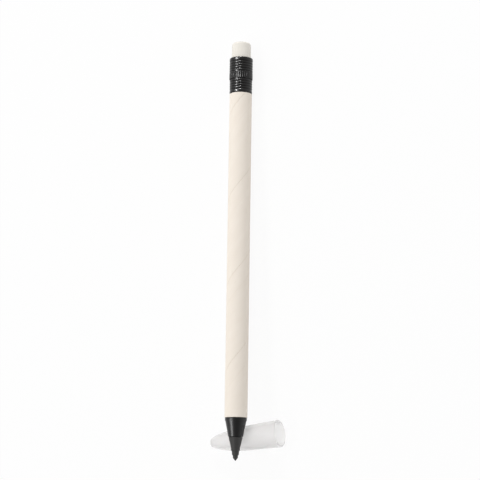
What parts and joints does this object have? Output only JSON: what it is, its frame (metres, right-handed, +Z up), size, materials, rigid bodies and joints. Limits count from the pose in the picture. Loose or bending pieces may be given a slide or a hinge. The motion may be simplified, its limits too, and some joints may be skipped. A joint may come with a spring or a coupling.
{
  "type": "inkless pencil",
  "caption": "Inkless pencil with a wound paper barrel, graphite alloy tip, black ferrule with eraser, and a frosted cap lying under its nose.",
  "frame": {"origin": "on the surface that the pencil and its cap lie on, below the middle of their outline", "axes": "+Y along the pencil from its tip to its eraser, +Z up, +X towards the cap's mouth"},
  "size_m": [0.0306, 0.1688, 0.0169],
  "materials": {
    "graphite_alloy": "matte dark grey graphite and metal compound, faintly metallic",
    "black_plastic": "glossy moulded black plastic",
    "kraft_paper": "plain brown kraft paper, glued",
    "facing_paper": "matte cream paper with fine fibres",
    "eraser_rubber": "off-white matte eraser rubber",
    "frosted_plastic": "frosted translucent plastic with a soft sheen"
  },
  "bodies": {
    "pencil": {"writing_tip": "graphite_alloy", "nose_holder": "black_plastic", "inner_paper_ply": "kraft_paper", "second_paper_ply": "kraft_paper", "third_paper_ply": "kraft_paper", "outer_paper_ply": "facing_paper", "ferrule": "black_plastic", "eraser": "eraser_rubber"},
    "cap": {"cap": "frosted_plastic"}
  },
  "joints": [
    {"name": "cap_slide", "type": "slide", "parent": "pencil", "child": "cap", "axis": [0.9932, 0.1167, 0], "range_m": [0, 0.04]}
  ]
}
